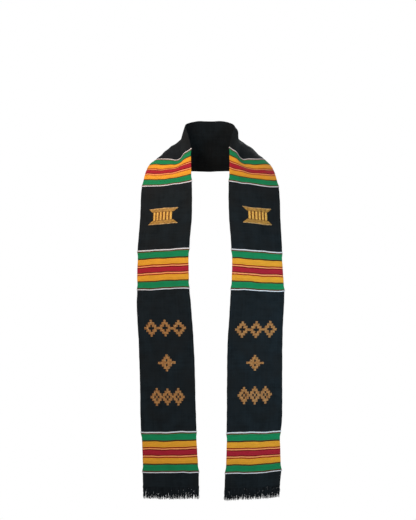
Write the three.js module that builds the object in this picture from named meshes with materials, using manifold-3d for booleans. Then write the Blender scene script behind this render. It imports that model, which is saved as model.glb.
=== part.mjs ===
// A woven graduation stole in kente style, in the form it takes when worn round the neck.
// Millimetres, +Z up, the chest towards -Y, +X to the viewer's right.
// The origin is on the strip's neck side, at its middle, where it rests on the nape.
// The strip is measured along its own length: distance 0 at the nape, positive down the
// viewer's left side, negative down the right. Share runs across it, 0 at the edge nearest
// the neck and 1 at the outer edge. Lift is the height above the side that lies on the body.

import * as THREE from 'three';
import Module from 'manifold-3d';
import { mergeVertices } from 'three/addons/utils/BufferGeometryUtils.js';

const wasm = await Module();
wasm.setup();

// The wearer's form, which the cloth follows
const neckHalfWidth = 54;
const collarReach = 188; // nape to the front of the chest
const yokeDrop = 231; // nape down to where the strip hangs plumb

// Woven lengths along the strip
const napeStripLength = 286;
const bandLength = 87;
const chestStripLength = 148;
const lowerStripLength = 305;
const hemStripLength = 31;
const fringeLength = 26;
const fringeSpread = 8; // longest lock less shortest
const hangDrop = 2 * bandLength + lowerStripLength + hemStripLength;

// Cloth
const stripWidth = 120;
const clothThickness = 1.6;
const bandThickness = 2.2; // weft packed closer in the striped bands
const stripeGroove = 0.5;
const seamGap = 0.3; // between one woven section and the next

// Gold weft figures, which lie on the ground
const figureGap = 0.4;
const figureThickness = 0.9;
const columnGroove = 0.45;
const stoolWidth = 66;
const stoolHeight = 33.5;
const stoolWaist = 44;
const stoolBarHeight = 8.8; // each flared bar
const stoolColumns = 6;
const stoolOffset = 4; // outwards from the middle of the strip
const chartStitchHeight = 5.2;
// Where the middle of each figure comes, as a share of the length of the ground that it is on
const stoolPlace = 0.48;
const rowPlaces = { upper: 0.277, middle: 0.523, lower: 0.761 };

// Fringe
const lockCount = 22;
const lockThickness = 1.8;
const lockRootThickness = 1.2; // thinner than the cloth, so the root is buried in the head
const lockTipShare = 0.6; // of the lock's thickness
const lockLean = 0.25; // sideways at the tip, as a share of the pitch
const lockRise = 0.35; // off the body at the tip
const fringeHead = 4;
const lockRoot = 2; // how far a lock reaches up into the head

// How the right side hangs differently: it swings out and its weft tilts up at the outer edge
const rightSway = 4;
const rightTilt = 0.06;

// The left half from the nape to the hem, one row for each section across the strip.
// side and reach place the edge nearest the neck, as shares of neckHalfWidth and collarReach.
// yoke and hang give how far it is below the nape, as shares of yokeDrop and hangDrop.
// inHeading and outHeading are the width's compass heading at its two edges, in degrees:
// 90 points to the back and 180 to the wearer's side.
// stand, lie and fall are its slope downwards where it stands against the neck, lies on the
// shoulder, and falls at the outer edge.
const sectionColumns = ['side', 'reach', 'yoke', 'hang', 'inHeading', 'outHeading', 'stand', 'lie', 'fall'];
const sections = [
  [0.0, 0.074, -0.251, 0, 90, 90, 80, 70, 62],
  [0.574, 0.112, -0.247, 0, 108, 94, 78, 66, 60],
  [0.981, 0.229, -0.195, 0, 158, 100, 66, 44, 58],
  [0.944, 0.303, -0.139, 0, 162, 104, 52, 22, 50],
  [0.87, 0.383, -0.078, 0, 162, 110, 45, 12, 38],
  [0.778, 0.489, 0.035, 0, 167, 122, 44, -4, 14],
  [0.741, 0.628, 0.208, 0, 168, 138, 24, 1, 3],
  [0.731, 0.745, 0.372, 0, 170, 148, 9, 6, -2],
  [0.733, 0.894, 0.688, 0, 172, 150, 3, 4, 0],
  [0.824, 0.973, 1, 0, 174, 150, 2, 4, 2],
  [0.8, 1, 1, 0.167, 175, 158, 2, 3, 2],
  [0.654, 0.989, 1, 0.402, 176, 166, 0, 1, 0],
  [0.587, 0.957, 1, 0.771, 178, 172, 1, 2, 1],
  [0.509, 0.936, 1, 0.998, 178, 172, 1, 1, 0],
].map((row) => Object.fromEntries(row.map((value, i) => [sectionColumns[i], value])));

// Where the crease between stand and lie runs, and where the fall begins, as shares across
const creaseStart = 0.1;
const creaseWidth = 0.3;
const fallStart = 0.45;
const fallWidth = 0.55;

const stations = sections.map((row) => ({
  x: -row.side * neckHalfWidth,
  y: -row.reach * collarReach,
  z: -row.yoke * yokeDrop - row.hang * hangDrop,
  inHeading: row.inHeading,
  outHeading: row.outHeading,
  stand: row.stand,
  lie: row.lie,
  fall: row.fall,
}));
const stationKeys = Object.keys(stations[0]);

function mirrored(station) {
  return {
    ...station,
    x: -station.x,
    inHeading: 180 - station.inHeading,
    outHeading: 180 - station.outHeading,
  };
}

// Knots along the inner edge, with one station beyond each end so that the curve has a slope there
const knots = [0];
for (let i = 1; i < stations.length; i++) {
  const [a, b] = [stations[i - 1], stations[i]];
  knots.push(knots[i - 1] + Math.hypot(b.x - a.x, b.y - a.y, b.z - a.z));
}
const lastKnot = knots.at(-1);
const beyond = Object.fromEntries(
  stationKeys.map((key) => [key, 2 * stations.at(-1)[key] - stations.at(-2)[key]]),
);
const guides = [mirrored(stations[1]), ...stations, beyond];
const guideKnots = [-knots[1], ...knots, 2 * lastKnot - knots.at(-2)];

function slopeAt(i, key) {
  const before = guideKnots[i] - guideKnots[i - 1];
  const after = guideKnots[i + 1] - guideKnots[i];
  const rise = (guides[i][key] - guides[i - 1][key]) / before;
  const next = (guides[i + 1][key] - guides[i][key]) / after;
  return (rise * after + next * before) / (before + after);
}

function stationAt(knot) {
  const within = Math.min(knot, lastKnot);
  let i = 1;
  while (i < stations.length - 1 && guideKnots[i + 1] < within) i++;
  const span = guideKnots[i + 1] - guideKnots[i];
  const f = (within - guideKnots[i]) / span;
  const result = {};
  for (const key of stationKeys) {
    result[key] =
      (2 * f ** 3 - 3 * f ** 2 + 1) * guides[i][key] +
      (f ** 3 - 2 * f ** 2 + f) * span * slopeAt(i, key) +
      (-2 * f ** 3 + 3 * f ** 2) * guides[i + 1][key] +
      (f ** 3 - f ** 2) * span * slopeAt(i + 1, key);
    if (knot > lastKnot) result[key] += slopeAt(stations.length, key) * (knot - lastKnot);
  }
  return result;
}

// A point of the left half: the section's width is walked from its inner edge in small steps
const walkSteps = 24;
function walkAcross(knot, share) {
  const s = stationAt(knot);
  const point = new THREE.Vector3(s.x, s.y, s.z);
  const step = (share * stripWidth) / walkSteps;
  for (let i = 0; i < walkSteps; i++) {
    const u = (share * (i + 0.5)) / walkSteps;
    const heading = THREE.MathUtils.degToRad(s.inHeading + (s.outHeading - s.inHeading) * u);
    const slope = THREE.MathUtils.degToRad(
      s.stand +
        (s.lie - s.stand) * THREE.MathUtils.smoothstep(u, creaseStart, creaseStart + creaseWidth) +
        (s.fall - s.lie) * THREE.MathUtils.smoothstep(u, fallStart, fallStart + fallWidth),
    );
    point.x += Math.cos(heading) * Math.cos(slope) * step;
    point.y += Math.sin(heading) * Math.cos(slope) * step;
    point.z -= Math.sin(slope) * step;
  }
  return point;
}

// Length along the middle of the strip, against the knots
const measureStep = 2;
const midway = [{ knot: 0, length: 0, point: walkAcross(0, 0.5) }];
const napeRest = midway[0].point.clone();
while (midway.at(-1).knot < lastKnot + 2 * fringeLength) {
  const knot = midway.at(-1).knot + measureStep;
  const point = walkAcross(knot, 0.5);
  midway.push({ knot, point, length: midway.at(-1).length + point.distanceTo(midway.at(-1).point) });
}

function knotAtLength(length) {
  let low = 0;
  let high = midway.length - 1;
  while (high - low > 1) {
    const middle = (low + high) >> 1;
    if (midway[middle].length > length) high = middle;
    else low = middle;
  }
  const f = (length - midway[low].length) / (midway[high].length - midway[low].length);
  return midway[low].knot + f * measureStep;
}

const firstBandTop = napeStripLength / 2;
const chestStripTop = firstBandTop + bandLength;
const secondBandTop = chestStripTop + chestStripLength;
const lowerStripTop = secondBandTop + bandLength;
const thirdBandTop = lowerStripTop + lowerStripLength;
const hemStripTop = thirdBandTop + bandLength;
const hem = hemStripTop + hemStripLength;

function clothPoint(distance, share) {
  const hanging = THREE.MathUtils.smoothstep(Math.abs(distance), secondBandTop, hem);
  const tilt = distance < 0 ? rightTilt * hanging : 0;
  const sway = distance < 0 ? rightSway * hanging : 0;
  const along = Math.abs(distance) - tilt * (share - 0.5) * stripWidth;
  const point = walkAcross(knotAtLength(Math.max(along, 0)), share).sub(napeRest);
  if (distance < 0) point.x = -point.x;
  point.x += sway;
  return point;
}

const probe = 0.5; // half the span over which a slope is measured
function placed(distance, share, lift) {
  const across = clothPoint(distance, share + probe / stripWidth)
    .sub(clothPoint(distance, share - probe / stripWidth));
  const along = clothPoint(distance + probe, share).sub(clothPoint(distance - probe, share));
  const outward = across.cross(along).normalize();
  return clothPoint(distance, share).addScaledVector(outward, lift);
}

// A closed body laid on the strip from a grid of cells. filled says which cells have cloth,
// top and bottom give the lift at a grid point.
function clothBody(distances, shares, bottom, top, filled = () => true) {
  const positions = [];
  const numbers = new Map();
  const vertex = (i, j, upper) => {
    const key = `${i},${j},${upper}`;
    if (!numbers.has(key)) {
      numbers.set(key, positions.length / 3);
      const lift = upper ? top(i, j) : bottom(i, j);
      positions.push(...placed(distances[i], shares[j], lift).toArray());
    }
    return numbers.get(key);
  };
  const faces = [];
  const quad = (a, b, c, d) => faces.push(a, b, c, a, c, d);
  const rows = distances.length - 1;
  const columns = shares.length - 1;
  const has = (i, j) => i >= 0 && j >= 0 && i < rows && j < columns && filled(i, j);
  for (let i = 0; i < rows; i++) {
    for (let j = 0; j < columns; j++) {
      if (!has(i, j)) continue;
      const corners = [[i, j], [i, j + 1], [i + 1, j + 1], [i + 1, j]];
      const upper = corners.map(([a, b]) => vertex(a, b, true));
      const lower = corners.map(([a, b]) => vertex(a, b, false));
      quad(...upper);
      quad(...lower.toReversed());
      const neighbours = [[i - 1, j], [i, j + 1], [i + 1, j], [i, j - 1]];
      neighbours.forEach(([a, b], side) => {
        const next = (side + 1) % 4;
        if (!has(a, b)) quad(upper[next], upper[side], lower[side], lower[next]);
      });
    }
  }
  const geometry = new THREE.BufferGeometry();
  geometry.setAttribute('position', new THREE.Float32BufferAttribute(positions, 3));
  geometry.setIndex(faces);
  return geometry;
}

const steps = (from, to, count) =>
  Array.from({ length: count + 1 }, (_, i) => from + ((to - from) * i) / count);

const materials = {
  ground: new THREE.MeshStandardMaterial({ color: 0x1f2122, roughness: 0.95, metalness: 0 }),
  band: new THREE.MeshStandardMaterial({ color: 0xd9a23a, roughness: 0.8, metalness: 0 }),
  gold: new THREE.MeshStandardMaterial({ color: 0xc8913f, roughness: 0.7, metalness: 0 }),
  fringe: new THREE.MeshStandardMaterial({ color: 0x191b1c, roughness: 0.95, metalness: 0 }),
};

const stole = new THREE.Group();
stole.name = 'graduation_stole';

function addPiece(name, geometry, material) {
  const mesh = new THREE.Mesh(geometry, material);
  mesh.name = name;
  stole.add(mesh);
}

// A plain ground section, from one distance to the next, less the gap at each end
function addGround(name, from, to, sectionLength, across) {
  const inset = (Math.sign(to - from) * seamGap) / 2;
  const count = Math.max(2, Math.round(Math.abs(to - from) / sectionLength));
  const distances = steps(from + inset, to - inset, count).sort((a, b) => a - b);
  addPiece(name, clothBody(distances, steps(0, 1, across), () => 0, () => clothThickness), materials.ground);
}

// Stripes of a band as shares of its length, from one end to the middle; the rest mirrors it
const stripeColumns = ['start', 'end'];
const halfStripes = [
  [0, 0.212],
  [0.234, 0.372],
  [0.427, 0.573],
].map((row) => Object.fromEntries(row.map((value, i) => [stripeColumns[i], value])));
const stripes = [
  ...halfStripes,
  ...halfStripes.slice(0, 2).reverse().map((s) => ({ start: 1 - s.end, end: 1 - s.start })),
];

// Each stripe is a low rib, with a groove of the thin lines between it and the next
function bandProfile() {
  const profile = [];
  stripes.forEach((stripe, i) => {
    profile.push({ share: stripe.start, lift: bandThickness }, { share: stripe.end, lift: bandThickness });
    const next = stripes[i + 1];
    if (next) profile.push({ share: (stripe.end + next.start) / 2, lift: bandThickness - stripeGroove });
  });
  return profile;
}

function addBand(name, from, to, across) {
  const inset = (Math.sign(to - from) * seamGap) / 2;
  const profile = bandProfile()
    .map(({ share, lift }) => ({ distance: from + inset + share * (to - from - 2 * inset), lift }))
    .sort((a, b) => a.distance - b.distance);
  const distances = profile.map((line) => line.distance);
  addPiece(name, clothBody(distances, steps(0, 1, across), () => 0, (i) => profile[i].lift), materials.band);
}

// The stool figure: two flared bars and a row of columns between them. Its outline narrows
// from line to line of the grid, so each line has its own half width.
function addStool(name, centre) {
  const columnShare = 0.6; // of a column's pitch
  const pitch = stoolWaist / stoolColumns;
  const places = [-stoolWidth / 2];
  for (let c = 0; c < stoolColumns; c++) {
    const middle = -stoolWaist / 2 + pitch * (c + 0.5);
    places.push(middle - (pitch * columnShare) / 2, middle + (pitch * columnShare) / 2);
    if (c < stoolColumns - 1) places.push(middle + pitch / 2);
  }
  places.push(stoolWidth / 2);
  const waistHeight = stoolHeight - 2 * stoolBarHeight;
  const lipHeight = 0.3 * stoolBarHeight; // the straight edge of a bar's tips
  const lines = [
    { along: -stoolHeight / 2, half: stoolWidth / 2 },
    { along: -stoolHeight / 2 + lipHeight, half: stoolWidth / 2 },
    { along: -waistHeight / 2, half: stoolWaist / 2 },
    { along: -waistHeight / 2 + columnGroove, half: stoolWaist / 2, waist: true },
    { along: waistHeight / 2 - columnGroove, half: stoolWaist / 2, waist: true },
    { along: waistHeight / 2, half: stoolWaist / 2 },
    { along: stoolHeight / 2 - lipHeight, half: stoolWidth / 2 },
    { along: stoolHeight / 2, half: stoolWidth / 2 },
  ];
  const last = places.length - 1;
  const middleShare = 0.5 + stoolOffset / stripWidth;
  const bottom = clothThickness + figureGap;
  const shareOf = (i, j) => {
    const half = lines[i].half;
    const offset = j === 0 ? -half : j === last ? half : places[j];
    return middleShare + offset / stripWidth;
  };
  const isGroove = (j) => j > 0 && j < last && j % 3 === 0;
  const top = (i, j) => bottom + figureThickness - (lines[i].waist && isGroove(j) ? columnGroove : 0);
  const distances = lines.map((line) => centre + line.along);
  addPiece(name, flaredBody(distances, shareOf, last, bottom, top), materials.gold);
}

// Like clothBody, for a full grid whose shares differ from line to line
function flaredBody(distances, shareOf, columns, bottom, top) {
  const body = new THREE.BoxGeometry(columns, 1, distances.length - 1, columns, 1, distances.length - 1);
  body.deleteAttribute('normal');
  body.deleteAttribute('uv');
  const merged = mergeVertices(body);
  const place = merged.attributes.position;
  for (let v = 0; v < place.count; v++) {
    const j = Math.round(place.getX(v) + columns / 2);
    const i = Math.round(distances.length - 1 - (place.getZ(v) + (distances.length - 1) / 2));
    const lift = place.getY(v) > 0 ? top(i, j) : bottom;
    place.setXYZ(v, ...placed(distances[i], shareOf(i, j), lift).toArray());
  }
  return merged;
}

// Ornament rows, charted stitch by stitch: linked diamonds, one barred diamond, solid diamonds
const charts = {
  upper: {
    width: 90,
    rows: [
      '...#......#......#...',
      '..###....###....###..',
      '.##.##..##.##..##.##.',
      '##...####...####...##',
      '.##.##..##.##..##.##.',
      '..###....###....###..',
      '...#......#......#...',
    ],
  },
  middle: {
    width: 37,
    rows: [
      '....#....',
      '...###...',
      '..##.##..',
      '#########',
      '..##.##..',
      '...###...',
      '....#....',
    ],
  },
  lower: {
    width: 73,
    rows: [
      '...#.....#.....#...',
      '..###...###...###..',
      '.#####.#####.#####.',
      '###################',
      '.#####.#####.#####.',
      '..###...###...###..',
      '...#.....#.....#...',
    ],
  },
};

function addChart(name, chart, centre) {
  const halfWidth = chart.width / 2 / stripWidth;
  const halfHeight = (chart.rows.length * chartStitchHeight) / 2;
  const distances = steps(centre - halfHeight, centre + halfHeight, chart.rows.length);
  const shares = steps(0.5 - halfWidth, 0.5 + halfWidth, chart.rows[0].length);
  const bottom = clothThickness + figureGap;
  const body = clothBody(distances, shares, () => bottom, () => bottom + figureThickness,
    (i, j) => chart.rows[i][j] === '#');
  addPiece(name, body, materials.gold);
}

function solidOf(geometry) {
  const shell = mergeVertices(geometry);
  return new wasm.Manifold(new wasm.Mesh({
    numProp: 3,
    vertProperties: new Float32Array(shell.attributes.position.array),
    triVerts: new Uint32Array(shell.index.array),
  }));
}

// Where a lock is measured, as shares of its length, with its half width there as a share of
// the pitch and the share of the lean and rise that it has reached
const lockColumns = ['down', 'halfWidth', 'bend'];
const lockSections = [
  [0, 0.4, 0],
  [0.45, 0.36, 0.4],
  [1, 0.16, 1],
].map((row) => Object.fromEntries(row.map((value, i) => [lockColumns[i], value])));

// A head across the strip with ragged locks hanging from it, fused into one body
function addFringe(name, side) {
  const ends = [hem + seamGap / 2, hem + fringeHead];
  const ordered = (list) => list.map((d) => side * d).sort((a, b) => a - b);
  const headShares = steps(0, 1, flatAcross);
  let fringe = solidOf(clothBody(ordered(ends), headShares, () => 0, () => clothThickness));
  const pitch = 1 / lockCount;
  for (let n = 0; n < lockCount; n++) {
    const turn = n * 2.4 + side; // an angle that makes no two neighbours alike
    const length = fringeLength - fringeHead - fringeSpread * (0.5 + 0.5 * Math.sin(turn * 1.7));
    const lean = lockLean * pitch * Math.sin(turn);
    const rise = lockRise * Math.sin(turn * 2.3);
    const thicknesses = [lockRootThickness, lockThickness, lockTipShare * lockThickness];
    const rings = lockSections.map((section, i) => ({
      distance: side * (hem + fringeHead - (i === 0 ? lockRoot : 0) + section.down * length),
      middle: pitch * (n + 0.5) + section.bend * lean,
      halfWidth: section.halfWidth * pitch,
      lift: clothThickness / 2 + section.bend * rise,
      thickness: thicknesses[i],
    }));
    rings.sort((a, b) => a.distance - b.distance);
    const lock = new THREE.BoxGeometry(1, 1, 2, 1, 1, 2);
    lock.deleteAttribute('normal');
    lock.deleteAttribute('uv');
    const merged = mergeVertices(lock);
    const place = merged.attributes.position;
    for (let v = 0; v < place.count; v++) {
      const ring = rings[Math.round(1 - place.getZ(v))];
      const share = ring.middle + 2 * place.getX(v) * ring.halfWidth;
      const lift = ring.lift + place.getY(v) * ring.thickness;
      place.setXYZ(v, ...placed(ring.distance, share, lift).toArray());
    }
    fringe = fringe.add(solidOf(merged));
  }
  const mesh = fringe.getMesh();
  const geometry = new THREE.BufferGeometry();
  geometry.setAttribute('position', new THREE.Float32BufferAttribute(mesh.vertProperties, 3));
  geometry.setIndex(Array.from(mesh.triVerts));
  addPiece(name, geometry, materials.fringe);
}

const foldedAcross = 11; // facets across where the strip is creased, and where it hangs flat
const flatAcross = 6;
const foldedStep = 12; // facet length along the strip
const chestStep = 18;
const hangingStep = 28;

addGround('nape_strip', -firstBandTop, firstBandTop, foldedStep, foldedAcross);
for (const [sideName, side] of [['left', 1], ['right', -1]]) {
  addBand(`${sideName}_neck_band`, side * firstBandTop, side * chestStripTop, foldedAcross);
  addGround(`${sideName}_chest_strip`, side * chestStripTop, side * secondBandTop, chestStep, flatAcross);
  addStool(`${sideName}_stool_motif`, side * (chestStripTop + stoolPlace * chestStripLength));
  addBand(`${sideName}_chest_band`, side * secondBandTop, side * lowerStripTop, flatAcross);
  addGround(`${sideName}_lower_strip`, side * lowerStripTop, side * thirdBandTop, hangingStep, flatAcross);
  for (const [rowName, place] of Object.entries(rowPlaces)) {
    const centre = side * (lowerStripTop + place * lowerStripLength);
    addChart(`${sideName}_${rowName}_row`, charts[rowName], centre);
  }
  addBand(`${sideName}_hem_band`, side * thirdBandTop, side * hemStripTop, flatAcross);
  addGround(`${sideName}_hem_strip`, side * hemStripTop, side * hem, hangingStep, flatAcross);
  addFringe(`${sideName}_fringe`, side);
}

export default stole;
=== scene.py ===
import math

import bpy
import numpy as np
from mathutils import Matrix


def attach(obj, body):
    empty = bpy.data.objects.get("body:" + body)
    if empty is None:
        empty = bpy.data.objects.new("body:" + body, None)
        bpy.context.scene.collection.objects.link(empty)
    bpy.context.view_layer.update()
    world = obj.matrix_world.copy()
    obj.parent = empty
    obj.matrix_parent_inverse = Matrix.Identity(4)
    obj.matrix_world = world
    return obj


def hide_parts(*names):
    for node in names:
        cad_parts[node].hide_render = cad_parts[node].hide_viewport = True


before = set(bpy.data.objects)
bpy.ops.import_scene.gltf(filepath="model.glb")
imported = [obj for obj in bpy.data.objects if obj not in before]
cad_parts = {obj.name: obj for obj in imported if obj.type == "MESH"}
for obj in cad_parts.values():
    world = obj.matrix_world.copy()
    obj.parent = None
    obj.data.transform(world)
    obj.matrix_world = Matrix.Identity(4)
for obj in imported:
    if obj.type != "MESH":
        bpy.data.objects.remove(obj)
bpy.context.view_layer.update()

print("frame loaded:", len(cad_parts), "nodes")

# The wearer's form and the woven lengths, in metres, as the solids have them
wearer = {"neckHalfWidth": 0.054, "collarReach": 0.188, "yokeDrop": 0.231}
strip = {
    "width": 0.120,
    "napeStrip": 0.286,
    "band": 0.087,
    "chestStrip": 0.148,
    "lowerStrip": 0.305,
    "hemStrip": 0.031,
    "cloth": 0.0016,
    "bandCloth": 0.0022,
    "stripeGroove": 0.0005,
    "rightSway": 0.004,     # the right end swings out
    "rightTilt": 0.06,      # and its weft tilts up at the outer edge
    "bandRows": 54,         # weft rows of a band: real rows lie about 1 mm apart, drawn coarser to show
}
weftRow = strip["band"] / strip["bandRows"]
hangDrop = 2 * strip["band"] + strip["lowerStrip"] + strip["hemStrip"]

# Sections of the left half from the nape to the hem: where the edge nearest the neck is, as shares of
# the wearer's lengths, the heading of the width at its two edges in degrees, and its slope against the
# neck, on the shoulder and at the outer edge
sectionColumns = ["side", "reach", "yoke", "hang", "inHeading", "outHeading", "stand", "lie", "fall"]
sections = [
    [0.0, 0.074, -0.251, 0, 90, 90, 80, 70, 62],
    [0.574, 0.112, -0.247, 0, 108, 94, 78, 66, 60],
    [0.981, 0.229, -0.195, 0, 158, 100, 66, 44, 58],
    [0.944, 0.303, -0.139, 0, 162, 104, 52, 22, 50],
    [0.87, 0.383, -0.078, 0, 162, 110, 45, 12, 38],
    [0.778, 0.489, 0.035, 0, 167, 122, 44, -4, 14],
    [0.741, 0.628, 0.208, 0, 168, 138, 24, 1, 3],
    [0.731, 0.745, 0.372, 0, 170, 148, 9, 6, -2],
    [0.733, 0.894, 0.688, 0, 172, 150, 3, 4, 0],
    [0.824, 0.973, 1, 0, 174, 150, 2, 4, 2],
    [0.8, 1, 1, 0.167, 175, 158, 2, 3, 2],
    [0.654, 0.989, 1, 0.402, 176, 166, 0, 1, 0],
    [0.587, 0.957, 1, 0.771, 178, 172, 1, 2, 1],
    [0.509, 0.936, 1, 0.998, 178, 172, 1, 1, 0],
]
drape = {
    "creaseStart": 0.1,     # shares of the width
    "creaseWidth": 0.3,
    "fallStart": 0.45,
    "fallWidth": 0.55,
    "walkSteps": 24,        # steps across the width of a section
    "measureStep": 0.002,   # steps along the strip between measured lengths
    "pastHem": 0.052,       # how far they go on past the last section, for the fringe
    "probe": 0.0005,        # half the span over which a slope is measured
}

table = {name: np.array([row[i] for row in sections], float) for i, name in enumerate(sectionColumns)}
guides = np.stack([
    -table["side"] * wearer["neckHalfWidth"],
    -table["reach"] * wearer["collarReach"],
    -table["yoke"] * wearer["yokeDrop"] - table["hang"] * hangDrop,
    table["inHeading"],
    table["outHeading"],
    table["stand"],
    table["lie"],
    table["fall"],
], axis=1)
knots = np.concatenate([[0], np.cumsum(np.linalg.norm(np.diff(guides[:, :3], axis=0), axis=1))])
lastKnot = knots[-1]
firstMirrored = guides[1] * [-1, 1, 1, -1, -1, 1, 1, 1] + [0, 0, 0, 180, 180, 0, 0, 0]
guides = np.vstack([firstMirrored, guides, 2 * guides[-1] - guides[-2]])
guideKnots = np.concatenate([[-knots[1]], knots, [2 * lastKnot - knots[-2]]])
spans = np.diff(guideKnots)[:, None]
rises = np.diff(guides, axis=0) / spans
slopes = (rises[:-1] * spans[1:] + rises[1:] * spans[:-1]) / (spans[1:] + spans[:-1])


def smoothStep(value, start, end):
    t = np.clip((value - start) / (end - start), 0, 1)
    return t * t * (3 - 2 * t)


def stationAt(knot):
    within = np.minimum(knot, lastKnot)
    i = np.clip(np.searchsorted(knots, within, side="left"), 1, len(knots) - 1)
    span = (knots[i] - knots[i - 1])[:, None]
    f = (within - knots[i - 1])[:, None] / span
    station = ((2 * f ** 3 - 3 * f ** 2 + 1) * guides[i]
               + (f ** 3 - 2 * f ** 2 + f) * span * slopes[i - 1]
               + (3 * f ** 2 - 2 * f ** 3) * guides[i + 1]
               + (f ** 3 - f ** 2) * span * slopes[i])
    return station + slopes[-1] * np.maximum(knot - lastKnot, 0)[:, None]


def walkAcross(knot, share):  # a section's width is walked from its inner edge in small steps
    x, y, z, inHeading, outHeading, stand, lie, fall = stationAt(knot).T
    step = share * strip["width"] / drape["walkSteps"]
    for i in range(drape["walkSteps"]):
        u = share * (i + 0.5) / drape["walkSteps"]
        heading = np.radians(inHeading + (outHeading - inHeading) * u)
        crease = smoothStep(u, drape["creaseStart"], drape["creaseStart"] + drape["creaseWidth"])
        fold = smoothStep(u, drape["fallStart"], drape["fallStart"] + drape["fallWidth"])
        slope = np.radians(stand + (lie - stand) * crease + (fall - lie) * fold)
        x = x + np.cos(heading) * np.cos(slope) * step
        y = y + np.sin(heading) * np.cos(slope) * step
        z = z - np.sin(slope) * step
    return np.stack([x, y, z], axis=1)


midKnots = np.arange(0, lastKnot + drape["pastHem"], drape["measureStep"])
midPoints = walkAcross(midKnots, np.full(len(midKnots), 0.5))
midLengths = np.concatenate([[0], np.cumsum(np.linalg.norm(np.diff(midPoints, axis=0), axis=1))])
napeRest = midPoints[0]

firstBandTop = strip["napeStrip"] / 2
chestStripTop = firstBandTop + strip["band"]
secondBandTop = chestStripTop + strip["chestStrip"]
lowerStripTop = secondBandTop + strip["band"]
thirdBandTop = lowerStripTop + strip["lowerStrip"]
hemStripTop = thirdBandTop + strip["band"]
hem = hemStripTop + strip["hemStrip"]


def clothPoint(distance, share):
    right = distance < 0
    hanging = smoothStep(np.abs(distance), secondBandTop, hem) * right
    along = np.abs(distance) - strip["rightTilt"] * hanging * (share - 0.5) * strip["width"]
    point = walkAcross(np.interp(np.maximum(along, 0), midLengths, midKnots), share) - napeRest
    point[:, 0] = np.where(right, -point[:, 0], point[:, 0]) + strip["rightSway"] * hanging
    return point


# What wearing does to the strip, with heights and places in metres
worn = {
    # soft waves: height, waves across the width, waves per metre along, phase
    "waves": [
        [0.00060, 0.8, 2.3, 0.4],
        [0.00045, 1.7, -3.1, 2.1],
        [0.00030, 2.6, 6.7, 4.4],
        [0.00018, 4.2, 11.0, 1.2],
        [0.00012, 3.1, -23.0, 5.3],
    ],
    "edgeCurl": 0.0011,         # how far the selvedges lift from the body
    "curlBase": 0.55,           # share of it that is the same all along
    "curlSwing": 0.45,          # share of it that comes and goes
    "curlPerMetre": 5.1,
    "curlSkew": 3,
    "curlPower": 6,             # how close to the selvedges it stays
    "edgeWander": 0.0003,       # how far they run in and out of line
    "edgeWanderPerMetre": [9, 17, 41],
    "wanderPhase": 2,
    "wanderSkew": 4,
    "wanderPower": 4,
    "bowStart": 0.05,           # the weft lies straight at the nape and bows from here on
    "bowFull": 0.15,
    # how far the weft lines bow: height, waves across the width, waves per metre along, phase
    "weftBow": [
        [0.00040, 1.3, 7.0, 0.6],
        [0.00030, 2.6, -11.0, 2.9],
        [0.00014, 5.3, 23.0, 4.1],
    ],
    # where the weft hangs lower than level: side, drop, place and half length along the strip,
    # place and half width across it as shares
    "sags": [
        [1, 0.0040, 0.148, 0.050, 0.55, 0.90],
        [1, 0.0024, 0.900, 0.100, 0.50, 2.00],
        [1, 0.0010, 0.840, 0.050, 0.62, 0.16],
        [1, 0.0005, 0.850, 0.050, 0.17, 0.08],
        [1, 0.0038, 0.300, 0.040, 0.50, 2.00],
        [1, -0.0028, 0.620, 0.110, 0.50, 2.00],
        [-1, 0.0044, 0.148, 0.050, 0.66, 0.34],
        [-1, -0.0022, 0.230, 0.030, 0.35, 0.22],
        [-1, 0.0018, 0.220, 0.030, 0.85, 0.15],
        [-1, 0.0029, 0.420, 0.120, 0.50, 2.00],
        [-1, 0.0007, 0.410, 0.090, 1.00, 0.50],
        [-1, -0.0007, 0.390, 0.060, 0.00, 0.40],
        [-1, 0.0026, 0.900, 0.100, 0.60, 1.50],
        [-1, 0.0018, 0.820, 0.080, 0.58, 0.26],
        [-1, 0.0017, 0.300, 0.040, 0.80, 0.35],
        [-1, -0.0065, 0.685, 0.060, 0.50, 2.00],
    ],
    # where an end swings towards the middle: side, how far, and from where to where along the strip
    "swings": [
        [1, 0.0020, 0.55, 0.80],
        [-1, 0.0010, 0.60, 0.85],
    ],
    # where a selvedge is pulled out, or in where below 0: side, how far, place and half length along
    # the strip, and which edge, 0 the inner and 1 the outer
    "pulls": [
        [1, -0.0018, 0.465, 0.018, 1],
        [1, -0.0012, 0.465, 0.018, 0],
        [1, 0.0024, 0.835, 0.050, 0],
        [-1, -0.0030, 0.388, 0.050, 1],
        [-1, -0.0026, 0.782, 0.028, 1],
        [-1, 0.0020, 0.855, 0.022, 1],
    ],
    # folds that the strip takes where it turns over the collar bone: side, 0 for both, height, place
    # and half length along the strip, place and half width across it as shares
    "folds": [
        [0, -0.0052, 0.146, 0.020, 0.35, 0.09],
        [0, 0.0044, 0.152, 0.030, 0.14, 0.08],
        [0, -0.0044, 0.158, 0.026, 0.60, 0.20],
        [0, -0.0018, 0.110, 0.022, 0.40, 0.08],
        [0, 0.0034, 0.188, 0.018, 0.24, 0.12],
        [0, -0.0050, 0.143, 0.022, 1.00, 0.12],
        [0, -0.0030, 0.091, 0.012, 0.24, 0.06],
        [1, 0.0024, 0.099, 0.016, 0.44, 0.08],
        [-1, -0.0024, 0.091, 0.012, 0.25, 0.06],
        [-1, 0.0034, 0.086, 0.014, 0.10, 0.06],
    ],
}


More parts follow.
